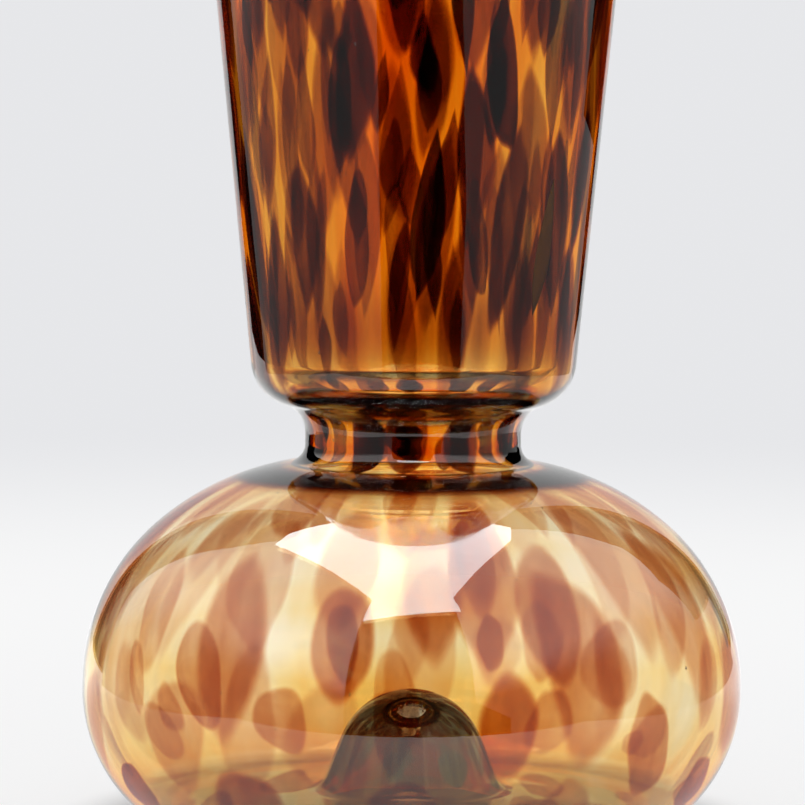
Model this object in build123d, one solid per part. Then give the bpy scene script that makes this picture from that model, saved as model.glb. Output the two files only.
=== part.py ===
from build123d import *

import os
from dataclasses import dataclass
from math import pi, sin, sqrt

# A gourd-shaped vase of cased glass: an amber bubble with brown chips rolled into its outside,
# all under a clear casing. Millimetres and degrees, +Z up, origin in the middle of the foot.

# Outside of the casing, from the rim down
HEIGHT = 300.0
RIM_RADIUS = 68.6
NECK_FLARE = 5.65
CORNER_RADIUS = 16.0
THROAT_RADIUS = 10.0
WAIST_RADIUS = 36.0
WAIST_STRAIGHT = 3.6
ROOT_RADIUS = 6.0
SHOULDER_RADIUS = 90.0
SHOULDER_START = 49.0
BULB_RADIUS = 110.0
EQUATOR_HEIGHT = 46.6
UPPER_SIDE_RADIUS = 71.0
LOWER_SIDE_RADIUS = 55.0
HEEL_RADIUS = 22.0
GRIND_DEPTH = 0.5
KICK_SLOPE = 5.0
PUNT_MOUTH_RADIUS = 15.4
PUNT_SLOPE = 22.0
PUNT_DOME_RADIUS = 17.6
PUNT_CENTRE_HEIGHT = 19.7

# Thickness of the clear casing and of the amber lining in each zone, and the seam drawn between them
CASING_NECK = 3.4
CASING_WAIST = 4.0
CASING_BULB = 3.2
CASING_BASE = 6.2
LINING_NECK = 2.3
LINING_WAIST = 2.2
LINING_BULB = 0.6
LINING_BASE = 1.2
LIP_ROUNDING = 0.9
SEAM = 0.05

# Brown chips, let into the outside of the lining: their depth in each zone, and how they scatter
CHIP_NECK = 1.2
CHIP_WAIST = 1.1
CHIP_BULB = 0.3
CHIP_BASE = 0.6
CHIP_REACH = 9.0
CHIP_WANDER = 0.07
WANDER_PER_CHIP = 2.4
WANDER_PER_ROW = 1.7
CHIP_LEAN = 4.0
CHIP_PATTERNS = [(1.0, -1.0), (0.78, 0.5), (0.9, 1.0), (0.96, -0.3)]
NECK_ROWS = 5


@dataclass
class Depth:
    """How far a surface lies under the outside of the vase in each zone."""

    neck: float
    waist: float
    bulb: float
    base: float

    def __add__(self, more):
        return Depth(
            self.neck + more.neck, self.waist + more.waist, self.bulb + more.bulb, self.base + more.base
        )

    def deeper(self, step):
        return self + Depth(step, step, step, step)


@dataclass
class Round:
    """A circle that the outline follows, swelling out of the glass or hollowed into it."""

    centre: Vector
    radius: float
    swells: bool

    def toward(self, direction):
        return self.centre + direction.normalized() * self.radius

    def touch(self, other):
        """The point where this round runs smoothly into the next one."""
        if self.swells == other.swells and self.radius < other.radius:
            return other.touch(self)
        return self.toward(other.centre - self.centre)

    def arc(self, start, end):
        return ThreePointArc(start, self.toward(start + end - self.centre * 2), end)


OUTSIDE = Depth(0, 0, 0, 0)
CASING_INSIDE = Depth(CASING_NECK, CASING_WAIST, CASING_BULB, CASING_BASE)
LINING_OUTSIDE = CASING_INSIDE.deeper(SEAM)
LINING_INSIDE = CASING_INSIDE + Depth(LINING_NECK, LINING_WAIST, LINING_BULB, LINING_BASE)
CHIP_INSIDE = LINING_OUTSIDE + Depth(CHIP_NECK, CHIP_WAIST, CHIP_BULB, CHIP_BASE)


def at(radius, height):
    """A point of the half section, which lies in the XZ plane."""
    return Vector(radius, 0, height)


def heading(angle):
    """A direction in the half section, turned up from level by an angle."""
    return Vector(1, 0, 0).rotate(Axis.Y, -angle)


def slide(start, direction, target, reach):
    """The furthest point along a line that lies a given reach from the target."""
    gap = start - target
    along = gap.dot(direction)
    return start + direction * (sqrt(along**2 - gap.dot(gap) + reach**2) - along)


def meeting(first, second):
    """The crossing of two lines, each given as a square direction and its distance from the origin."""
    (n, p), (m, q) = first, second
    turn = n.X * m.Z - n.Z * m.X
    return at((p * m.Z - q * n.Z) / turn, (q * n.X - p * m.X) / turn)


UP = heading(90)
LEVEL = heading(0)
NECK_OUT = heading(-NECK_FLARE)
NECK_UP = heading(90 - NECK_FLARE)
FLOOR_OUT = heading(-90 - KICK_SLOPE)
FLOOR_ALONG = heading(-KICK_SLOPE)
WALL_OUT = heading(PUNT_SLOPE)

UPPER_CENTRE = at(BULB_RADIUS - UPPER_SIDE_RADIUS, EQUATOR_HEIGHT)
LOWER_CENTRE = at(BULB_RADIUS - LOWER_SIDE_RADIUS, EQUATOR_HEIGHT)
SHOULDER_CENTRE = UPPER_CENTRE - heading(SHOULDER_START) * (SHOULDER_RADIUS - UPPER_SIDE_RADIUS)
HEEL_CENTRE = slide(
    at(0, HEEL_RADIUS - GRIND_DEPTH), LEVEL, LOWER_CENTRE, LOWER_SIDE_RADIUS - HEEL_RADIUS
)
ROOT_LINE = at(WAIST_RADIUS + ROOT_RADIUS, EQUATOR_HEIGHT)
ROOT_TOP = slide(ROOT_LINE, UP, SHOULDER_CENTRE, SHOULDER_RADIUS + ROOT_RADIUS).Z
THROAT_CENTRE = at(WAIST_RADIUS + THROAT_RADIUS, ROOT_TOP + WAIST_STRAIGHT)
CORNER_LINE = at(RIM_RADIUS, HEIGHT) - NECK_OUT * CORNER_RADIUS
PUNT_CENTRE = at(0, PUNT_CENTRE_HEIGHT)
MOUTH_CENTRE = meeting(
    (WALL_OUT, PUNT_CENTRE.dot(WALL_OUT) + PUNT_DOME_RADIUS + PUNT_MOUTH_RADIUS),
    (FLOOR_OUT, HEEL_CENTRE.dot(FLOOR_OUT) + HEEL_RADIUS - PUNT_MOUTH_RADIUS),
)


def outline(depth):
    """The edges of a surface at some depth in the glass, from the rim down to the axis."""
    waist = WAIST_RADIUS - depth.waist
    throat = Round(THROAT_CENTRE, THROAT_RADIUS + depth.waist, False)
    corner_size = CORNER_RADIUS - depth.neck
    corner_place = slide(CORNER_LINE, NECK_UP, throat.centre, corner_size + throat.radius)
    corner = Round(corner_place, corner_size, True)
    shoulder = Round(SHOULDER_CENTRE, SHOULDER_RADIUS - depth.bulb, True)
    upper = Round(UPPER_CENTRE, UPPER_SIDE_RADIUS - depth.bulb, True)
    lower = Round(LOWER_CENTRE, LOWER_SIDE_RADIUS - depth.bulb, True)
    root_size = ROOT_RADIUS + depth.waist
    root = Round(slide(ROOT_LINE, UP, SHOULDER_CENTRE, shoulder.radius + root_size), root_size, False)
    heel_size = HEEL_RADIUS - depth.base
    heel_place = slide(HEEL_CENTRE, FLOOR_ALONG, LOWER_CENTRE, lower.radius - heel_size)
    heel = Round(heel_place, heel_size, True)
    mouth = Round(MOUTH_CENTRE, PUNT_MOUTH_RADIUS - depth.base, True)
    dome = Round(PUNT_CENTRE, PUNT_DOME_RADIUS + depth.base, False)

    corner_top = corner.toward(NECK_OUT)
    rim = corner_top + NECK_UP * ((HEIGHT - corner_top.Z) / NECK_UP.Z)
    stops = [
        rim,
        corner_top,
        corner.touch(throat),
        at(waist, throat.centre.Z),
        at(waist, root.centre.Z),
        root.touch(shoulder),
        shoulder.touch(upper),
        upper.toward(LEVEL),
        lower.touch(heel),
        heel.toward(FLOOR_OUT),
        mouth.toward(FLOOR_OUT),
        mouth.toward(-WALL_OUT),
        dome.toward(WALL_OUT),
        dome.toward(UP),
    ]
    rounds = [None, corner, throat, None, root, shoulder, upper, lower, heel, None, mouth, None, dome]
    edges = []
    for start, end, round_ in zip(stops, stops[1:], rounds):
        edges.append(round_.arc(start, end) if round_ else Line(start, end))
    return edges


def layer(outer, inner, lip):
    """A layer of glass between two depths, with its lip rounded where the depth is open to the air."""
    far, near = outline(outer), outline(inner)
    ends = [Line(far[0] @ 0, near[0] @ 0), Line(far[-1] @ 1, near[-1] @ 1)]
    section = make_face(far + near + ends).face()
    if lip is not None:
        corner = section.vertices().sort_by_distance(lip)[0]
        section = section.fillet_2d(LIP_ROUNDING * (near[0] @ 0 - far[0] @ 0).length, [corner])
    return revolve(section, Axis.Z)


@dataclass
class Row:
    """A ring of chips around the vase, at a share of the way down one stretch of the outline."""

    stretch: Wire
    place: float
    count: int
    half_length: float
    fill: float
    blunt: bool = False

    def pocket(self, size, lean):
        """Room for one chip on the +X side: a prism square to the glass, cut out of the skin."""
        spot = self.stretch @ self.place
        down = self.stretch % self.place
        half_width = size * self.fill * 2 * pi * spot.X / self.count
        half_length = size * self.half_length
        if self.blunt:
            shape = Ellipse(half_width, half_length)
        else:
            top, bottom = (0, half_length), (0, -half_length)
            sides = [ThreePointArc(top, (side * half_width, 0), bottom) for side in (-1, 1)]
            shape = make_face(sides)
        plane = Plane(spot, x_dir=(0, 1, 0), z_dir=(-down.Z, 0, down.X))
        return extrude(plane * Rot(0, 0, lean) * shape, CHIP_REACH, both=True) & skin

    def ring(self, number):
        """The pockets and the chips of the row, all turned copies of a few patterns."""
        pockets = [self.pocket(size, lean * CHIP_LEAN) for size, lean in CHIP_PATTERNS]
        patterns = [(pocket, pocket & bubble) for pocket in pockets]
        holes, chips = [], []
        for k in range(self.count):
            wander = CHIP_WANDER * sin(WANDER_PER_CHIP * k + WANDER_PER_ROW * number)
            turn = Rot(0, 0, (k + number % 2 / 2 + wander) * 360 / self.count)
            pocket, chip = patterns[(k * 3 + number) % len(patterns)]
            holes += (turn * pocket).solids()
            chips += (turn * chip).solids()
        return holes, chips


RIM_OUTSIDE = outline(OUTSIDE)[0] @ 0
RIM_INSIDE = outline(LINING_INSIDE)[0] @ 0
casing = split(layer(OUTSIDE, CASING_INSIDE, RIM_OUTSIDE), Plane.XY, keep=Keep.TOP)
bubble = layer(LINING_OUTSIDE, LINING_INSIDE, RIM_INSIDE)
skin = layer(LINING_OUTSIDE.deeper(-1), CHIP_INSIDE, None)

edges = outline(LINING_OUTSIDE)
NECK, WAIST, BULB = Wire(edges[:1]), Wire(edges[2:5]), Wire(edges[5:8])
FLOOR, PUNT = Wire(edges[9:10]), Wire(edges[11:12])
ROWS = {
    "neck_chips": [Row(NECK, (k + 0.6) / (NECK_ROWS + 0.2), 15, 24.0, 0.27) for k in range(NECK_ROWS)],
    "waist_chips": [Row(WAIST, 0.5, 12, 10.5, 0.27)],
    "bulb_chips": [
        Row(BULB, 0.17, 12, 22.0, 0.25),
        Row(BULB, 0.37, 12, 26.0, 0.25),
        Row(BULB, 0.57, 12, 26.0, 0.25),
        Row(BULB, 0.75, 12, 15.0, 0.23, True),
        Row(BULB, 0.91, 12, 10.0, 0.22, True),
    ],
    "base_chips": [
        Row(FLOOR, 0.35, 10, 8.0, 0.26, True),
        Row(FLOOR, 0.78, 10, 7.0, 0.26, True),
        Row(PUNT, 0.5, 7, 5.5, 0.22),
    ],
}

pockets, groups = [], {}
for name, rows in ROWS.items():
    groups[name] = []
    for number, row in enumerate(rows):
        holes, chips = row.ring(number)
        pockets += holes
        groups[name] += chips
lining = bubble.cut(*pockets)

os.makedirs("parts", exist_ok=True)
export_step(casing, "parts/clear_casing.step")
export_step(lining, "parts/amber_lining.step")
for name, chips in groups.items():
    export_step(Compound(chips), f"parts/{name}.step")
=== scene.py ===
import math
import random

import bmesh
import bpy
import numpy as np
from mathutils import Matrix


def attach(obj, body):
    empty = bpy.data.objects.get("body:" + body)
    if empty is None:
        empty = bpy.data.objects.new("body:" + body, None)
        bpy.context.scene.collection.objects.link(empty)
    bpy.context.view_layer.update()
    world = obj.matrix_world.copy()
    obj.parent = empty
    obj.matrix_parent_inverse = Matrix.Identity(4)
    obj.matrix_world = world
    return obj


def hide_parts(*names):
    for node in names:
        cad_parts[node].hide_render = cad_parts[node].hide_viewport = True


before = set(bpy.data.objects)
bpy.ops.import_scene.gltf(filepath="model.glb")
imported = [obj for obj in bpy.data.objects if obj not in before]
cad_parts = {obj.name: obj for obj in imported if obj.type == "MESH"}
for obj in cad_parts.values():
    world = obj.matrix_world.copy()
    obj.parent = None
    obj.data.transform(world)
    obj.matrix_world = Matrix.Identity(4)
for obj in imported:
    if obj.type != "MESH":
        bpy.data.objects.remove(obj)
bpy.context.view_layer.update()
scene = bpy.context.scene
RANDOM_SEED = 11
rng = random.Random(RANDOM_SEED)
MM_PER_M = 1000

# Fineness of the meshes: columns around, and the largest turn and length of one step along the outline
COLUMNS = 140
STEP_TURN = math.radians(2.5)
STEP_LENGTH = 0.004
SHARP = math.radians(8)

# Lengths that count as none, the digits kept of a place, and a turn that counts as straight
NEAR = 1e-6
SAME = 1e-7
DIGITS = 6
STRAIGHT = 1e-6

# Gap that keeps the faces of the two fused layers apart
SEAM = 0.00005

# Camera, as measured in the photo, in metres, degrees and millimetres of lens
CAMERA_DISTANCE = 1.346
CAMERA_HEIGHT = 0.234
CAMERA_PITCH = 3.96
CAMERA_YAW = 0.153
CAMERA_ROLL = 0.38
CAMERA_LENS = 181.1
CAMERA_SENSOR = 36.0
CAMERA_CLIP = (0.01, 100.0)

# Glass: its bending of light, the ripple of its surface, and the colour left by one millimetre of it
GLASS_IOR = 1.5
RIPPLE_SCALE = 22.0
RIPPLE_DEPTH = 0.00012
AMBER = (0.978, 0.705, 0.275)
BROWN = (0.17, 0.06, 0.035)
BROWN_THIN = (0.22, 0.022, 0.0045)
SLATE_DARK = (0.032, 0.026, 0.02)
SLATE_PALE = (0.08, 0.067, 0.052)
SLATE_ROUGHNESS = 0.35
SLATE_STREAKS = 400.0

# Streaks of the coloured glass: how fine they are around and along the outline, how strong and how rough
AMBER_STREAKS = (70, 70, 9)
AMBER_CONTRAST = 0.45
BROWN_STREAKS = (240, 240, 40)
BROWN_CONTRAST = 0.2
STREAK_DETAIL = 3.0
STREAK_ROUGHNESS = 0.55
STREAK_RANGE = (0.3, 0.7)
GRAIN_REACH = 0.06

# How dense the colour is around the vase: everywhere, more at the front and the back, and more at the sides
EVEN_BASE = 0.58
EVEN_FRONT = 0.44
EVEN_SIDES = 0.3
EVEN_POWER = 8

# Where the amber keeps its own depth below the waist, and how far it can gather, also towards the floor
WAIST_HEIGHT = 0.128
THINNING_RADIUS = 0.0687
LEAST_RADIUS = 0.01
GATHERED = 1.8
FLOOR_HEIGHTS = (0.01, 0.075)
FLOOR_GATHER = (4.0, 1.0)

# Where brown is deepened in bands: radius and height on the outline, spread along it, and millimetres of
# brown
BROWN_AND_PAINTED_SHADE_BANDS = [
    # Painted shade at the waist
    (0.051, 0.1158, 0.0045, 3.2),
    # Painted shade at the throat
    (0.0395, 0.1425, 0.0045, 2.6),
    # Deeper brown at the floor
    (0.05, 0.012, 0.03, 0.45),
    # Painted shade in the punt
    (0.0, 0.0435, 0.03, 1.7),
]

# Where the colour is drawn thin over the corner of the neck: height, spread and the share that is lost
CORNER_HEIGHT = 0.152
CORNER_SPREAD = 0.007
CORNER_LOSS = 0.4

# Where brown runs down to that corner in streaks: height, spread, millimetres of brown, and waves around
RUN_HEIGHT = 0.165
RUN_SPREAD = 0.014
RUN_DEPTH = 0.36
RUN_MEAN = 0.5
RUN_WAVES = ((19, 0.3), (31, 0.2))

# Air bubbles in the casing: how many, where they start and stop along the outline, and their sizes
BUBBLES = 70
BUBBLE_START = 0.09
BUBBLE_RIM_GAP = 0.01
BUBBLE_SIZES = (0.00015, 0.0004)
BUBBLE_DEPTHS = (0.0007, 0.0025)
BUBBLE_STRETCH = (1.0, 1.8)


# Outlines, read from the CAD meshes

def seam_links(node):
    """The node's mesh edges that lie in the half section at azimuth 0, as a map of point to neighbours."""
    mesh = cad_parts[node].data
    spots = {}
    for vertex in mesh.vertices:
        x, y, z = vertex.co
        if abs(y) < NEAR and x > -NEAR:
            spots[vertex.index] = (round(x, DIGITS), round(z, DIGITS))
    links = {}
    for edge in mesh.edges:
        a, b = (spots.get(v) for v in edge.vertices)
        if a and b and a != b:
            links.setdefault(a, set()).add(b)
            links.setdefault(b, set()).add(a)
    return links


def walk(links, start):
    """The chain of points from start, as an array of (radius, height)."""
    chain = [start]
    seen = {start}
    while True:
        onward = [p for p in links[chain[-1]] if p not in seen]
        if not onward:
            return np.array(chain)
        chain.append(onward[0])
        seen.add(onward[0])


def chord_angles(points):
    """The direction from each point of a chain to the next."""
    steps = np.diff(points, axis=0)
    return np.unwrap(np.arctan2(steps[:, 1], steps[:, 0]))


def headings_along(points, known, angle):
    """The direction of the true outline at each point of a chain, given it at one of them."""
    chords = chord_angles(points)
    chords += 2 * math.pi * round((angle - chords[min(known, len(chords) - 1)]) / (2 * math.pi))
    headings = np.zeros(len(points))
    headings[known] = angle
    for i in range(known, len(points) - 1):
        headings[i + 1] = 2 * chords[i] - headings[i]
    for i in range(known, 0, -1):
        headings[i - 1] = 2 * chords[i - 1] - headings[i]
    return headings


def between(first, last, start, turn):
    """Points on the arc or line from first to last, which starts in a direction and turns by an angle."""
    span = np.linalg.norm(last - first)
    count = max(1, math.ceil(abs(turn) / STEP_TURN), math.ceil(span / STEP_LENGTH))
    if abs(turn) < STRAIGHT:
        return [first + (last - first) * k / count for k in range(1, count)]
    radius = span / (2 * math.sin(turn / 2))
    points = []
    for k in range(1, count):
        heading = start + turn * k / count
        run = math.sin(heading) - math.sin(start)
        rise = math.cos(start) - math.cos(heading)
        points.append(first + radius * np.array([run, rise]))
    return points


def smooth(points, known, angle):
    """Points along the arcs and lines that a chain was taken from, given its direction at one point."""
    headings = headings_along(points, known, angle)
    fine = [points[0]]
    for i in range(len(points) - 1):
        fine += between(points[i], points[i + 1], headings[i], headings[i + 1] - headings[i])
        fine.append(points[i + 1])
    return np.array(fine)


def from_equator(points):
    """A smooth chain that runs up past the equator, where it stands upright."""
    return smooth(points, int(points[:, 0].argmax()), math.pi / 2)


def offset(points, depth):
    """A chain moved square to itself, to its left as it runs from the axis up to the rim."""
    along = np.gradient(points, axis=0)
    along /= np.linalg.norm(along, axis=1)[:, None]
    moved = points + depth * np.stack([-along[:, 1], along[:, 0]], axis=1)
    moved[0] = (0, points[0, 1] + depth)
    moved[-1, 1] = points[-1, 1]
    return moved


def read_outlines():
    """The outside, the fused face and the inside of the vase, each from the axis up to the rim."""
    links = seam_links("clear_casing")
    chain = walk(links, min((p for p in links if p[0] < NEAR), key=lambda p: p[1]))
    top = chain[:, 1].max()
    last_top = int(np.nonzero(chain[:, 1] > top - NEAR)[0][-1])
    ground = np.nonzero(chain[:, 1] < NEAR)[0]
    punt = smooth(chain[: ground[0] + 1], 0, 0.0)
    outside = np.vstack([punt, from_equator(chain[ground[-1] : last_top + 1])])
    fused = from_equator(chain[last_top:][::-1])
    links = seam_links("amber_lining")
    inside = from_equator(walk(links, max((p for p in links if p[0] < NEAR), key=lambda p: p[1])))
    return outside, fused, inside


OUTSIDE, FUSED, INSIDE = read_outlines()
LINING = offset(FUSED, SEAM)


# Meshes

def add_object(name, data):
    made = bpy.data.objects.new(name, data)
    scene.collection.objects.link(made)
    return made


def to_object(name, work, materials):
    """An object of a finished bmesh, with its materials."""
    mesh = bpy.data.meshes.new(name)
    work.to_mesh(mesh)
    work.free()
    for material in materials:
        mesh.materials.append(material)
    return add_object(name, mesh)


def add_ring(work, radius, height):
    """A ring of vertices, or one vertex on the axis."""
    if radius < SAME:
        return [work.verts.new((0, 0, height))]
    turns = [2 * math.pi * k / COLUMNS for k in range(COLUMNS)]
    return [work.verts.new((radius * math.cos(t), radius * math.sin(t), height)) for t in turns]


def add_band(work, below, above, material_index):
    """The faces between two rings."""
    for k in range(COLUMNS):
        j = (k + 1) % COLUMNS
        corners = [ring[i % len(ring)] for ring, i in ((below, k), (below, j), (above, j), (above, k))]
        face = work.faces.new(list(dict.fromkeys(corners)))
        face.smooth = True
        face.material_index = material_index


def revolve(name, chains, materials):
    """A closed solid turned from a half section: chains one after the other, each with its material."""
    work = bmesh.new()
    last = None
    below = None
    for owner, chain in enumerate(chains):
        for point in chain:
            if last is not None and np.abs(point - last).max() < SAME:
                continue
            above = add_ring(work, *point)
            if below:
                add_band(work, below, above, owner)
            last = point
            below = above
    bmesh.ops.recalc_face_normals(work, faces=work.faces)
    made = to_object(name, work, materials)
    made.data.set_sharp_from_angle(angle=SHARP)
    return made


def set_values(mesh, name, values):
    attribute = mesh.attributes.new(name, "FLOAT", "POINT")
    attribute.data.foreach_set("value", np.asarray(values, np.float32))


def set_vectors(mesh, name, values):
    attribute = mesh.attributes.new(name, "FLOAT_VECTOR", "POINT")
    attribute.data.foreach_set("vector", np.asarray(values, np.float32).ravel())


def coordinates(mesh):
    points = np.zeros(len(mesh.vertices) * 3)
    mesh.vertices.foreach_get("co", points)
    return points.reshape(-1, 3)


def bell(distance, spread):
    """1 in the middle of a soft band, falling away over its spread."""
    return np.exp(-((distance / spread) ** 2))


class Skin:
    """The outside of the lining, as a place for chips: distance along the outline, and azimuth."""

    def __init__(self, chain):
        self.chain = chain
        steps = np.linalg.norm(np.diff(chain, axis=0), axis=1)
        self.along = np.concatenate([[0], np.cumsum(steps)])
        self.tangents = np.gradient(chain, axis=0)
        self.tangents /= np.linalg.norm(self.tangents, axis=1)[:, None]
        self.thickness = np.array([np.linalg.norm(INSIDE - p, axis=1).min() for p in chain])
        self.kept = 1 - CORNER_LOSS * bell(chain[:, 1] - CORNER_HEIGHT, CORNER_SPREAD)
        self.amber = self.amber_depth()
        self.brown = self.brown_and_painted_shade_depth()

    def amber_depth(self):
        """Metres of amber at each point: drawn thin where the bulb was blown wide, gathered at the floor."""
        radius, height = self.chain.T
        thinning = np.minimum((THINNING_RADIUS / np.maximum(radius, LEAST_RADIUS)) ** 2, GATHERED)
        amber = self.thickness * np.where(height < WAIST_HEIGHT, thinning, 1)
        return amber * np.interp(height, FLOOR_HEIGHTS, FLOOR_GATHER) * self.kept

    def brown_and_painted_shade_depth(self):
        """Millimetres of brown at each point, deepened in bands: painted shade at the waist, the throat and
        the punt, and darker at the floor.
        """
        brown = np.zeros(len(self.chain))
        for radius, height, spread, depth in BROWN_AND_PAINTED_SHADE_BANDS:
            middle = self.along[np.linalg.norm(self.chain - (radius, height), axis=1).argmin()]
            brown += depth * bell(self.along - middle, spread)
        return brown

    def locate(self, points):
        """Distance along the outline of the chain point nearest to each point."""
        flat = np.stack([np.hypot(points[:, 0], points[:, 1]), points[:, 2]], axis=1)
        gaps = ((flat[:, None, :] - self.chain[None, :, :]) ** 2).sum(2)
        return self.along[gaps.argmin(1)]

    def radius(self, distance):
        return np.interp(distance, self.along, self.chain[:, 0])

    def depth(self, distance):
        return np.interp(distance, self.along, self.thickness)

    def keep(self, distance):
        """The share of the colour that is left."""
        return np.interp(distance, self.along, self.kept)

    def place(self, distance, azimuth, depth):
        """Points at a distance along the outline, an azimuth and a depth under the skin."""
        height = np.interp(distance, self.along, self.chain[:, 1])
        run = np.interp(distance, self.along, self.tangents[:, 0])
        rise = np.interp(distance, self.along, self.tangents[:, 1])
        radius = self.radius(distance) - rise * depth
        height = height + run * depth
        return np.stack([radius * np.cos(azimuth), radius * np.sin(azimuth), height], axis=-1)


SKIN = Skin(LINING)


def evenness(azimuth):
    """How dense the colour is around the vase: fullest at the front and the back, then at the sides."""
    front = EVEN_FRONT * np.sin(azimuth) ** EVEN_POWER
    sides = EVEN_SIDES * np.cos(azimuth) ** EVEN_POWER
    return EVEN_BASE + front + sides


def grain(azimuth, distance):
    """Where a point lies in the drawn-out glass: around the vase, and along its outline."""
    return GRAIN_REACH * np.cos(azimuth), GRAIN_REACH * np.sin(azimuth), distance


# Materials

def new_material(name):
    material = bpy.data.materials.new(name)
    material.use_nodes = True
    nodes = material.node_tree.nodes
    nodes.clear()
    return material, nodes, material.node_tree.links


def add(nodes, kind, inputs=None, **settings):
    """A node of a kind, with its own settings and its inputs' values."""
    node = nodes.new(kind)
    for key, value in settings.items():
        setattr(node, key, value)
    for key, value in (inputs or {}).items():
        node.inputs[key].default_value = value
    return node


def glass_material(name):
    """Clear glass, blown by hand: its surface ripples a little."""
    material, nodes, links = new_material(name)
    out = add(nodes, "ShaderNodeOutputMaterial")
    glass = add(nodes, "ShaderNodeBsdfPrincipled", {
        "Base Color": (1, 1, 1, 1),
        "Roughness": 0.0,
        "IOR": GLASS_IOR,
        "Transmission Weight": 1.0,
    })
    place = add(nodes, "ShaderNodeTexCoord")
    waves = add(nodes, "ShaderNodeTexNoise", {"Scale": RIPPLE_SCALE, "Detail": 1.0})
    bump = add(nodes, "ShaderNodeBump", {"Strength": 1.0, "Distance": RIPPLE_DEPTH})
    links.new(place.outputs["Object"], waves.inputs["Vector"])
    links.new(waves.outputs["Fac"], bump.inputs["Height"])
    links.new(bump.outputs["Normal"], glass.inputs["Normal"])
    links.new(glass.outputs["BSDF"], out.inputs["Surface"])
    return material


def fused_material():
    """The fused face of the casing, where light passes straight into the lining."""
    material, nodes, links = new_material("fused_face")
    out = add(nodes, "ShaderNodeOutputMaterial")
    clear = add(nodes, "ShaderNodeBsdfTransparent")
    links.new(clear.outputs["BSDF"], out.inputs["Surface"])
    return material


def add_streaks(nodes, links, scale, contrast):
    """A share of the glass's depth that varies in streaks along it."""
    place = add(nodes, "ShaderNodeAttribute", attribute_name="grain")
    stretch = add(nodes, "ShaderNodeMapping", {"Scale": scale})
    streaks = add(nodes, "ShaderNodeTexNoise", {
        "Scale": 1.0,
        "Detail": STREAK_DETAIL,
        "Roughness": STREAK_ROUGHNESS,
    })
    share = add(nodes, "ShaderNodeMapRange", {
        "From Min": STREAK_RANGE[0],
        "From Max": STREAK_RANGE[1],
        "To Min": 1 - contrast,
        "To Max": 1 + contrast,
    })
    links.new(place.outputs["Vector"], stretch.inputs["Vector"])
    links.new(stretch.outputs["Vector"], streaks.inputs["Vector"])
    links.new(streaks.outputs["Fac"], share.inputs["Value"])
    return share.outputs["Result"]


def add_brown_and_painted_shade(nodes, links, colour, tint):
    """A tint made deeper by the brown in the glass, which holds painted shade at the waist, the throat and
    the punt.
    """
    deepening = add(nodes, "ShaderNodeGamma", {"Color": (*colour, 1)})
    brown = add(nodes, "ShaderNodeAttribute", attribute_name="brown_and_painted_shade_mm")
    both = add(nodes, "ShaderNodeVectorMath", operation="MULTIPLY")
    links.new(brown.outputs["Fac"], deepening.inputs["Gamma"])
    links.new(tint, both.inputs[0])
    links.new(deepening.outputs["Color"], both.inputs[1])
    return both.outputs["Vector"]


def tinted_material(name, colour, scale, contrast, deepened_by=None):
    """Coloured glass: a tint per millimetre, deeper with the layer's thickness and drawn out in streaks."""
    material, nodes, links = new_material(name)
    out = add(nodes, "ShaderNodeOutputMaterial")
    clear = add(nodes, "ShaderNodeBsdfTransparent")
    gamma = add(nodes, "ShaderNodeGamma", {"Color": (*colour, 1)})
    thickness = add(nodes, "ShaderNodeAttribute", attribute_name="thickness_mm")
    depth = add(nodes, "ShaderNodeMath", operation="MULTIPLY")
    links.new(thickness.outputs["Fac"], depth.inputs[0])
    links.new(add_streaks(nodes, links, scale, contrast), depth.inputs[1])
    links.new(depth.outputs["Value"], gamma.inputs["Gamma"])
    tint = gamma.outputs["Color"]
    if deepened_by:
        tint = add_brown_and_painted_shade(nodes, links, deepened_by, tint)
    links.new(tint, clear.inputs["Color"])
    links.new(clear.outputs["BSDF"], out.inputs["Surface"])
    return material


def splinter_material():
    """Glass so dark that it looks like slate, a little streaked along its length."""
    material, nodes, links = new_material("splinter_glass")
    out = add(nodes, "ShaderNodeOutputMaterial")
    slate = add(nodes, "ShaderNodeBsdfPrincipled", {"Roughness": SLATE_ROUGHNESS})
    place = add(nodes, "ShaderNodeAttribute", attribute_name="grain")
    streaks = add(nodes, "ShaderNodeTexNoise", {"Scale": SLATE_STREAKS})
    colours = {"A": (*SLATE_DARK, 1), "B": (*SLATE_PALE, 1)}
    shades = add(nodes, "ShaderNodeMix", colours, data_type="RGBA")
    links.new(place.outputs["Vector"], streaks.inputs["Vector"])
    links.new(streaks.outputs["Fac"], shades.inputs["Factor"])
    links.new(shades.outputs["Result"], slate.inputs["Base Color"])
    links.new(slate.outputs["BSDF"], out.inputs["Surface"])
    return material


CLEAR_GLASS = glass_material("clear_glass")
INNER_GLASS = glass_material("inner_glass")
FUSED_FACE = fused_material()
# The amber is deepened by its brown, which holds painted shade at the waist, the throat and the punt
AMBER_GLASS = tinted_material("amber_glass", AMBER, AMBER_STREAKS, AMBER_CONTRAST, BROWN)
BROWN_GLASS = tinted_material("brown_glass", BROWN, BROWN_STREAKS, BROWN_CONTRAST)
THIN_BROWN_GLASS = tinted_material("thin_brown_glass", BROWN_THIN, BROWN_STREAKS, BROWN_CONTRAST)
SPLINTER_GLASS = splinter_material()


# The two layers of the vessel

def own(piece, node):
    """Makes a piece stand for a CAD node and ride with the vase."""
    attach(piece, "root")
    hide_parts(node)


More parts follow.
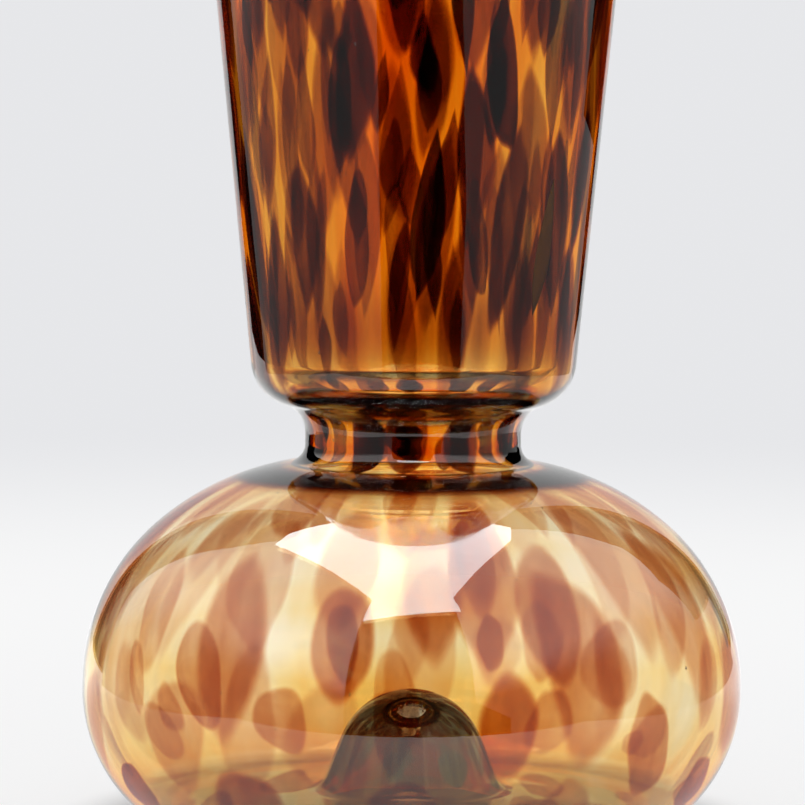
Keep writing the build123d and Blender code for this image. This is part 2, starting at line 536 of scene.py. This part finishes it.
def add_bubbles(mesh):
    """Tiny air bubbles in the casing, a little drawn out upwards: closed faces that look inward."""
    work = bmesh.new()
    work.from_mesh(mesh)
    for _ in range(BUBBLES):
        along = rng.uniform(BUBBLE_START, SKIN.along[-1] - BUBBLE_RIM_GAP)
        azimuth = rng.uniform(0, 2 * math.pi)
        size = rng.uniform(*BUBBLE_SIZES)
        place = Matrix.Translation(SKIN.place(along, azimuth, -rng.uniform(*BUBBLE_DEPTHS)))
        stretch = Matrix.Diagonal((size, size, size * rng.uniform(*BUBBLE_STRETCH), 1))
        made = bmesh.ops.create_icosphere(work, subdivisions=2, radius=1.0, matrix=place @ stretch)
        faces = list({face for vertex in made["verts"] for face in vertex.link_faces})
        bmesh.ops.reverse_faces(work, faces=faces)
        for face in faces:
            face.smooth = True
    work.to_mesh(mesh)
    work.free()


def build_casing():
    casing = revolve("casing", [OUTSIDE, FUSED[::-1]], [CLEAR_GLASS, FUSED_FACE])
    add_bubbles(casing.data)
    own(casing, "clear_casing")


def brown_runs(azimuth, height):
    """Millimetres of brown in the soft streaks above the neck's corner."""
    waves = RUN_MEAN + sum(size * np.sin(count * azimuth + count) for count, size in RUN_WAVES)
    return RUN_DEPTH * bell(height - RUN_HEIGHT, RUN_SPREAD) * waves


def build_lining():
    lining = revolve("lining", [LINING, INSIDE[::-1]], [AMBER_GLASS, INNER_GLASS])
    points = coordinates(lining.data)
    azimuth = np.arctan2(points[:, 1], points[:, 0])
    distance = SKIN.locate(points)
    amber = np.interp(distance, SKIN.along, SKIN.amber) * MM_PER_M * evenness(azimuth)
    # Brown per point: the bands, with painted shade at the waist, the throat and the punt, and the runs
    # above the corner
    brown = np.interp(distance, SKIN.along, SKIN.brown) + brown_runs(azimuth, points[:, 2])
    set_values(lining.data, "thickness_mm", amber)
    set_values(lining.data, "brown_and_painted_shade_mm", brown)
    set_vectors(lining.data, "grain", np.stack(grain(azimuth, distance), axis=1))
    own(lining, "amber_lining")


# Chips, one for each solid chip of the CAD model

# Mesh of a chip: points around it, rings out to its edge, its share of the lining's depth, and the least
# distances that its points keep from the rim and from the axis
CHIP_POINTS = 40
CHIP_RINGS = (0.4, 0.7, 0.78, 0.84, 0.9, 0.95)
CHIP_SHARE = 0.25
CHIP_RIM_GAP = 0.002
CHIP_AXIS_GAP = 0.004

# Form of a chip: how it leans, swells to one end, bends, waves at its edge and thins along its length
CHIP_LEAN = math.radians(7)
CHIP_SWELL = 0.35
CHIP_BEND = 0.3
CHIP_WAVES = (2, 3, 5)
CHIP_WAVE_SIZES = (0.01, 0.05)
CHIP_FALL = 0.25

# How sharp the ends of a chip are, where in its radius it starts to fade, and how much denser a blunt one is
POINTED = (1.5, 2.1)
OVAL = (1.0, 1.5)
BLUNT = (0.9, 1.15)
CRISP = (0.7, 0.9)
SOFT = (0.6, 0.9)
BLUNT_DENSITY = 1.6

# A flake beside its solid chip: size, shift across and along by its own halves, depth and density
FLAKE_WIDTHS = (0.9, 1.2)
FLAKE_LENGTHS = (0.95, 1.25)
FLAKE_SHIFT = (0.35, 0.25)
FLAKE_DEPTHS = (0.04, 0.1)
FLAKE_LEAST = 0.3
FLAKE_RANGE = 1.3

# A core, the smaller flake under some flakes, in the same terms
CORE_SIZES = (0.45, 0.8)
CORE_SHIFT = (0.9, 0.7)
CORE_DEPTHS = (0.4, 0.5)
CORE_DENSITIES = (0.4, 1.1)

# The one dark splinter at the front right of the neck
SPLINTER_AZIMUTH = math.radians(-41.5)
SPLINTER_HEIGHT = 0.195
SPLINTER_HALVES = (0.0033, 0.0225)
SPLINTER_LEAN = math.radians(-6)
SPLINTER_DEPTH = 0.02


def islands(node):
    """The points of each separate chip of a node."""
    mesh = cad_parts[node].data
    merged = {}
    ids = [merged.setdefault(tuple(p), len(merged)) for p in np.round(coordinates(mesh), DIGITS)]
    parent = list(range(len(merged)))

    def root(i):
        while parent[i] != i:
            parent[i] = parent[parent[i]]
            i = parent[i]
        return i

    for edge in mesh.edges:
        a, b = (root(ids[v]) for v in edge.vertices)
        parent[a] = b
    groups = {}
    for place, i in merged.items():
        groups.setdefault(root(i), []).append(place)
    return sorted((np.array(g) for g in groups.values()), key=lambda g: tuple(g.mean(0).round(4)))


def measure(points):
    """Azimuth, place along the outline, half width and half length of a solid chip."""
    azimuth = math.atan2(points[:, 1].mean(), points[:, 0].mean())
    distance = SKIN.locate(points)
    turn = np.angle(np.exp(1j * (np.arctan2(points[:, 1], points[:, 0]) - azimuth)))
    across = turn * SKIN.radius(distance)
    return azimuth, (distance.min() + distance.max()) / 2, np.ptp(across) / 2, np.ptp(distance) / 2


def either_way(limit):
    """A random number between a limit and its negative."""
    return rng.uniform(-limit, limit)


class Chip:
    """One flake of brown glass on the lining: its place, its drawn-out outline and how soon it fades."""

    def __init__(self, azimuth, middle, half_width, half_length, tips, edges, lean=None):
        self.azimuth = azimuth
        self.middle = middle
        self.lean = either_way(CHIP_LEAN) if lean is None else lean
        self.feather = rng.uniform(*edges)
        self.side, self.rise = self.outline(half_length, half_width, rng.uniform(*tips))
        self.fall = either_way(CHIP_FALL)
        self.reach = float(SKIN.depth(middle))
        self.thickness = CHIP_SHARE * self.reach

    def outline(self, half_length, half_width, tips):
        """A pointed or blunt outline, swollen to one end, bent and uneven."""
        swell = either_way(CHIP_SWELL)
        bend = either_way(CHIP_BEND) * half_width
        waves = [(n, rng.uniform(*CHIP_WAVE_SIZES), rng.uniform(0, 2 * math.pi)) for n in CHIP_WAVES]
        angles = np.linspace(0, 2 * math.pi, CHIP_POINTS, endpoint=False)
        uneven = 1 + sum(size * np.cos(n * angles + phase) for n, size, phase in waves)
        along = np.cos(angles)
        across = np.sign(np.sin(angles)) * np.abs(np.sin(angles)) ** tips * (1 + swell * along)
        side = half_width * across * uneven + bend * along**2
        rise = half_length * along * uneven
        turned = (side + 1j * rise) * complex(math.cos(self.lean), math.sin(self.lean))
        return turned.real, turned.imag

    def place(self, ring, k):
        """Distance along the outline and azimuth of a point on a ring."""
        along = self.middle + ring * self.rise[k]
        along = min(max(along, SKIN.along[1]), SKIN.along[-1] - CHIP_RIM_GAP)
        return along, self.azimuth + ring * self.side[k] / max(SKIN.radius(along), CHIP_AXIS_GAP)

    def brown(self, ring, k, along, azimuth):
        """Millimetres of brown at a point, at a density of 1: it fades to the edge."""
        fade = 1 - max(0.0, (ring - self.feather) / (1 - self.feather))
        slope = 1 + self.fall * ring * self.rise[k] / max(self.rise)
        full = evenness(azimuth) * SKIN.keep(along) * slope * self.thickness * MM_PER_M
        return full * fade * fade * (3 - 2 * fade)

    def add(self, work, layers, depth, density):
        """The chip as a thin lens, thickest in its middle, at a share of the lining's depth."""
        brown_layer, grain_layer = layers
        middle = depth * self.reach + self.thickness / 2

        def vertex(ring, k, face):
            along, azimuth = self.place(ring, k)
            bulge = self.thickness / 2 * math.sqrt(max(0.0, 1 - ring**2))
            made = work.verts.new(SKIN.place(along, azimuth, middle + face * bulge))
            made[brown_layer] = density * self.brown(ring, k, along, azimuth)
            made[grain_layer] = grain(azimuth, along)
            return made

        edge = [vertex(1.0, k, 0) for k in range(CHIP_POINTS)]
        for face in (-1, 1):
            centre = vertex(0.0, 0, face)
            rings = [[vertex(ring, k, face) for k in range(CHIP_POINTS)] for ring in CHIP_RINGS] + [edge]
            for k in range(CHIP_POINTS):
                j = (k + 1) % CHIP_POINTS
                work.faces.new((centre, rings[0][k], rings[0][j])).smooth = True
                for inner, outer in zip(rings, rings[1:]):
                    work.faces.new((inner[k], outer[k], outer[j], inner[j])).smooth = True


def add_splinter(work, layers):
    """The splinter, in the second material of its mesh."""
    middle = SKIN.along[np.abs(SKIN.chain[:, 1] - SPLINTER_HEIGHT).argmin()]
    splinter = Chip(SPLINTER_AZIMUTH, middle, *SPLINTER_HALVES, POINTED, CRISP, SPLINTER_LEAN)
    before = len(work.faces)
    splinter.add(work, layers, SPLINTER_DEPTH, 1.0)
    work.faces.ensure_lookup_table()
    for face in work.faces[before:]:
        face.material_index = 1


def add_flakes(work, layers, island, density, width, length, cores, tips, edges):
    """A solid chip as a flake, sometimes with a core under it."""
    azimuth, middle, half_width, half_length = measure(island)
    half_width *= width * rng.uniform(*FLAKE_WIDTHS)
    half_length *= length * rng.uniform(*FLAKE_LENGTHS)
    azimuth += either_way(FLAKE_SHIFT[0]) * half_width / SKIN.radius(middle)
    middle += either_way(FLAKE_SHIFT[1]) * half_length
    flake = Chip(azimuth, middle, half_width, half_length, tips, edges)
    depth = rng.uniform(*FLAKE_DEPTHS)
    flake.add(work, layers, depth, density * (FLAKE_LEAST + FLAKE_RANGE * rng.random() ** 2))
    if rng.random() < cores:
        azimuth += either_way(CORE_SHIFT[0]) * half_width / SKIN.radius(middle)
        middle += either_way(CORE_SHIFT[1]) * half_length
        half_width *= rng.uniform(*CORE_SIZES)
        half_length *= rng.uniform(*CORE_SIZES)
        core = Chip(azimuth, middle, half_width, half_length, tips, edges)
        depth = rng.uniform(*CORE_DEPTHS)
        core.add(work, layers, depth, density * rng.uniform(*CORE_DENSITIES))


def build_chips(name, node, materials, density, width, length, cores,
                blunt_below=0.0, tips=POINTED, edges=CRISP, extra=None):
    """All the chips of a node: those below a height are blunt, crisp and denser."""
    work = bmesh.new()
    layers = (
        work.verts.layers.float.new("thickness_mm"),
        work.verts.layers.float_vector.new("grain"),
    )
    for island in islands(node):
        if island[:, 2].mean() < blunt_below:
            add_flakes(work, layers, island, density * BLUNT_DENSITY, width, length, cores, BLUNT, CRISP)
        else:
            add_flakes(work, layers, island, density, width, length, cores, tips, edges)
    if extra:
        extra(work, layers)
    bmesh.ops.recalc_face_normals(work, faces=work.faces)
    own(to_object(name, work, materials), node)


build_casing()
build_lining()
build_chips("chips_neck", "neck_chips", [BROWN_GLASS, SPLINTER_GLASS],
            density=0.9, width=0.93, length=1.24, cores=0.9, extra=add_splinter)
# The waist chips are denser than the rest: their own brown, made deeper as painted shade at the waist
build_chips("chips_waist", "waist_chips", [BROWN_GLASS],
            density=1.8, width=1.3, length=1.4, cores=1.0)
build_chips("chips_bulb", "bulb_chips", [THIN_BROWN_GLASS],
            density=0.86, width=1.0, length=1.3, cores=0.4, blunt_below=0.05, tips=OVAL, edges=SOFT)
build_chips("chips_base", "base_chips", [BROWN_GLASS],
            density=3.2, width=1.15, length=1.1, cores=0.5, blunt_below=0.03)


# Studio: panels that only reflections see, a pale floor and a pale backdrop

# Brightness, where 1 is the white of the picture
BACKDROP = (0.795, 0.800, 0.820)
# Brightness of the floor near the vase: a painted pool of light that fades to the backdrop
FLOOR_NEAR_PAINTED_LIGHT = 0.96
TABLE_MIRRORED = 1.6
TABLE_IN_PAINTED_SHADOW = 0.75
TABLE_FAR = 0.5
PANEL_LOW = 0.40
PANEL_HIGH = 2.0
BACK = 0.8
ROOF = 11.5
ROOF_COLOUR = (0.86, 1.0, 1.03)
ROOM_DARK = 0.004

# Brightness for reflections inside the glass
ROOM_INSIDE = 1.1
ROOF_INSIDE = 6.0
WORLD_INSIDE = 0.35

# Panels: their places, the heights between which the side panels brighten, and their outlines, as
# (y, z) for the side panels, (x, z) for the back panel and (x, y) for the roof
LEFT_X = -0.5
RIGHT_X = 0.5
BACK_Y = 1.0
ROOF_Z = 0.7
PANEL_HEIGHTS = (0.2, 0.4)
LEFT_EDGE = [
    (-1.25, -0.6), (-1.25, 2.6), (0.26, 2.6), (0.27, 0.67),
    (0.36, 0.36), (0.4, 0.24), (0.36, 0.12), (0.35, -0.6),
]
RIGHT_EDGE = [
    (-0.8, -0.6), (-0.8, 0.02), (-1.3, 0.2), (-1.3, 2.6), (0.6, 2.6), (0.39, 0.57),
    (0.26, 0.36), (0.28, 0.19), (0.65, 0.18), (0.77, -0.1), (0.77, -0.6),
]
BACK_EDGE = [(-0.59, -0.6), (0.50, -0.6), (0.50, 2.0), (-0.59, 2.0)]
ROOF_EDGE = [
    (-0.233, -0.622), (0.209, -0.514), (0.151, -0.402), (0.246, 0.09),
    (0.231, 0.18), (-0.3, 0.18), (-0.362, 0.137), (-0.151, -0.427),
]

# The table that reflections see: its edges, and along y where it dims under a painted shadow of the vase,
# widens and brightens again
TABLE_FRONT = -0.324
TABLE_SIDE = 0.47
TABLE_SIDE_BEHIND = 0.87
TABLE_SHADOW_DIMS = (-0.2, 0.0)
TABLE_WIDENS = (0.0, 0.1)
TABLE_BRIGHTENS = (0.1, 0.4)

# The floor: its size, and by distance from the vase where its painted pool of light fades to the backdrop,
# where the shadow of the vase fades, and where the painted shadow under the foot fades
FLOOR_RADIUS = 14.0
FLOOR_SEGMENTS = 96
FLOOR_DROP = 0.0002
PAINTED_LIGHT_FADES = (0.4, 1.75)
CLOTH = (0.95, 0.95, 0.95)
SHADOW = 0.2
SHADOW_FADES = (0.2, 1.0)
FOOT_PAINTED_SHADOW = 0.06
FOOT_SHADOW_FADES = (0.07, 0.125)


def connect(links, source, socket):
    """Feeds a socket from another one, or with a number."""
    if isinstance(source, (int, float)):
        socket.default_value = source
    else:
        links.new(source, socket)


def calculate(nodes, links, operation, *values):
    node = add(nodes, "ShaderNodeMath", operation=operation)
    for value, socket in zip(values, node.inputs):
        connect(links, value, socket)
    return node.outputs["Value"]


def ramp(nodes, links, source, limits, low, high):
    """A value that goes smoothly from low to high as the source goes from limit to limit."""
    inputs = {"From Min": limits[0], "From Max": limits[1], "To Min": low, "To Max": high}
    node = add(nodes, "ShaderNodeMapRange", inputs, interpolation_type="SMOOTHSTEP")
    links.new(source, node.inputs["Value"])
    return node.outputs["Result"]


def mix_shaders(nodes, links, share, first, second):
    node = add(nodes, "ShaderNodeMixShader")
    links.new(share, node.inputs["Fac"])
    links.new(first, node.inputs[1])
    links.new(second, node.inputs[2])
    return node.outputs["Shader"]


def position(nodes, links):
    """The place of a point in the scene, and its x, y and z."""
    place = add(nodes, "ShaderNodeNewGeometry").outputs["Position"]
    parts = add(nodes, "ShaderNodeSeparateXYZ")
    links.new(place, parts.inputs["Vector"])
    return place, parts.outputs


def path_switch(nodes, links, output):
    """1 for light that has been reflected, or has come through glass, on its way to the camera, else 0."""
    path = add(nodes, "ShaderNodeLightPath")
    return calculate(nodes, links, "GREATER_THAN", path.outputs[output], 0.5)


def reflection_switch(nodes, links):
    return path_switch(nodes, links, "Glossy Depth")


def room_level(nodes, links, outside, inside):
    """A strength for reflections off the outside, and another for those inside the glass."""
    level = add(nodes, "ShaderNodeMix", data_type="FLOAT")
    links.new(path_switch(nodes, links, "Transmission Depth"), level.inputs["Factor"])
    connect(links, outside, level.inputs["A"])
    level.inputs["B"].default_value = inside
    return level.outputs["Result"]


def panel_material(name, low, high, inside, colour):
    """Light that shows only in reflections, brighter towards the top."""
    material, nodes, links = new_material(name)
    out = add(nodes, "ShaderNodeOutputMaterial")
    _, parts = position(nodes, links)
    level = ramp(nodes, links, parts["Z"], PANEL_HEIGHTS, low, high)
    light = add(nodes, "ShaderNodeEmission", {"Color": (*colour, 1)})
    clear = add(nodes, "ShaderNodeBsdfTransparent")
    links.new(room_level(nodes, links, level, inside), light.inputs["Strength"])
    seen = mix_shaders(nodes, links, reflection_switch(nodes, links),
                       clear.outputs["BSDF"], light.outputs["Emission"])
    links.new(seen, out.inputs["Surface"])
    material.cycles.emission_sampling = "NONE"
    return material


def build_panel(name, corners, low, high, inside, colour=(1.0, 1.0, 1.0)):
    mesh = bpy.data.meshes.new(name)
    mesh.from_pydata(corners, [], [range(len(corners))])
    mesh.materials.append(panel_material(name, low, high, inside, colour))
    made = add_object(name, mesh)
    made.visible_camera = False
    made.visible_diffuse = False
    made.visible_shadow = False


def build_panels():
    left = [(LEFT_X, y, z) for y, z in LEFT_EDGE]
    right = [(RIGHT_X, y, z) for y, z in RIGHT_EDGE]
    roof = [(x, y, ROOF_Z) for x, y in ROOF_EDGE]
    back = [(x, BACK_Y, z) for x, z in BACK_EDGE]
    build_panel("left_panel", left, PANEL_LOW, PANEL_HIGH, ROOM_INSIDE)
    build_panel("right_panel", right, PANEL_LOW, PANEL_HIGH, ROOM_INSIDE)
    build_panel("roof_panel", roof, ROOF, ROOF, ROOF_INSIDE, ROOF_COLOUR)
    build_panel("back_panel", back, BACK, BACK, ROOM_INSIDE)


def floor_in_view(nodes, links, place):
    """The floor as the camera sees it: pale, with a painted pool of light around the vase, a painted shadow
    under the foot, and a soft shadow around the vase.
    """
    length = add(nodes, "ShaderNodeVectorMath", operation="LENGTH")
    links.new(place, length.inputs[0])
    reach = length.outputs["Value"]
    colours = {"A": (FLOOR_NEAR_PAINTED_LIGHT, FLOOR_NEAR_PAINTED_LIGHT, FLOOR_NEAR_PAINTED_LIGHT, 1), "B": (*BACKDROP, 1)}
    blend = add(nodes, "ShaderNodeMix", colours, data_type="RGBA")
    # A painted pool of light, fading to the backdrop
    links.new(ramp(nodes, links, reach, PAINTED_LIGHT_FADES, 0, 1), blend.inputs["Factor"])
    glow = add(nodes, "ShaderNodeEmission")
    links.new(blend.outputs["Result"], glow.inputs["Color"])
    # A painted shadow under the foot
    links.new(ramp(nodes, links, reach, FOOT_SHADOW_FADES, FOOT_PAINTED_SHADOW, 1), glow.inputs["Strength"])
    cloth = add(nodes, "ShaderNodeBsdfDiffuse", {"Color": (*CLOTH, 1)})
    shadow = ramp(nodes, links, reach, SHADOW_FADES, SHADOW, 0)
    return mix_shaders(nodes, links, shadow, glow.outputs["Emission"], cloth.outputs["BSDF"])


def floor_in_reflections(nodes, links, parts):
    """The floor as reflections see it: a table that is brightest in front, dims behind the vase in a painted
    shadow, and is wider behind.
    """
    front = calculate(nodes, links, "GREATER_THAN", parts["Y"], TABLE_FRONT)
    side = ramp(nodes, links, parts["Y"], TABLE_WIDENS, TABLE_SIDE, TABLE_SIDE_BEHIND)
    width = calculate(nodes, links, "ABSOLUTE", parts["X"])
    between_sides = calculate(nodes, links, "LESS_THAN", width, side)
    on_table = calculate(nodes, links, "MULTIPLY", front, between_sides)
    # A painted shadow of the vase: the table dims behind it
    front_and_painted_shadow = ramp(nodes, links, parts["Y"], TABLE_SHADOW_DIMS, TABLE_MIRRORED, TABLE_IN_PAINTED_SHADOW)
    far = ramp(nodes, links, parts["Y"], TABLE_BRIGHTENS, 0, TABLE_FAR)
    level = calculate(nodes, links, "ADD", front_and_painted_shadow, far)
    white = add(nodes, "ShaderNodeEmission")
    links.new(room_level(nodes, links, level, ROOM_INSIDE), white.inputs["Strength"])
    clear = add(nodes, "ShaderNodeBsdfTransparent")
    return mix_shaders(nodes, links, on_table, clear.outputs["BSDF"], white.outputs["Emission"])


def floor_material():
    material, nodes, links = new_material("floor")
    out = add(nodes, "ShaderNodeOutputMaterial")
    place, parts = position(nodes, links)
    plain = floor_in_view(nodes, links, place)
    mirrored = floor_in_reflections(nodes, links, parts)
    seen = mix_shaders(nodes, links, reflection_switch(nodes, links), plain, mirrored)
    links.new(seen, out.inputs["Surface"])
    material.cycles.emission_sampling = "NONE"
    return material


def build_floor():
    work = bmesh.new()
    bmesh.ops.create_circle(work, cap_ends=True, segments=FLOOR_SEGMENTS, radius=FLOOR_RADIUS)
    made = to_object("floor", work, [floor_material()])
    made.location.z = -FLOOR_DROP


def build_world():
    """A pale backdrop for the camera, and a dark room for reflections."""
    world = bpy.data.worlds.new("studio")
    world.use_nodes = True
    nodes, links = world.node_tree.nodes, world.node_tree.links
    nodes.clear()
    out = add(nodes, "ShaderNodeOutputWorld")
    pale = add(nodes, "ShaderNodeBackground", {"Color": (*BACKDROP, 1)})
    dark = add(nodes, "ShaderNodeBackground", {"Color": (1, 1, 1, 1)})
    links.new(room_level(nodes, links, ROOM_DARK, WORLD_INSIDE), dark.inputs["Strength"])
    seen = mix_shaders(nodes, links, reflection_switch(nodes, links),
                       pale.outputs["Background"], dark.outputs["Background"])
    links.new(seen, out.inputs["Surface"])
    scene.world = world


def build_camera():
    data = bpy.data.cameras.new("camera")
    data.lens = CAMERA_LENS
    data.sensor_width = CAMERA_SENSOR
    data.clip_start, data.clip_end = CAMERA_CLIP
    camera = add_object("camera", data)
    turn = (
        Matrix.Rotation(math.radians(CAMERA_YAW), 4, "Z")
        @ Matrix.Rotation(math.radians(90 - CAMERA_PITCH), 4, "X")
        @ Matrix.Rotation(math.radians(CAMERA_ROLL), 4, "Z")
    )
    camera.matrix_world = Matrix.Translation((0, -CAMERA_DISTANCE, CAMERA_HEIGHT)) @ turn
    scene.camera = camera


build_panels()
build_floor()
build_world()
build_camera()
scene.view_settings.view_transform = "Standard"
scene.cycles.transparent_max_bounces = 96
scene.cycles.max_bounces = 24
scene.cycles.transmission_bounces = 24
scene.cycles.glossy_bounces = 8
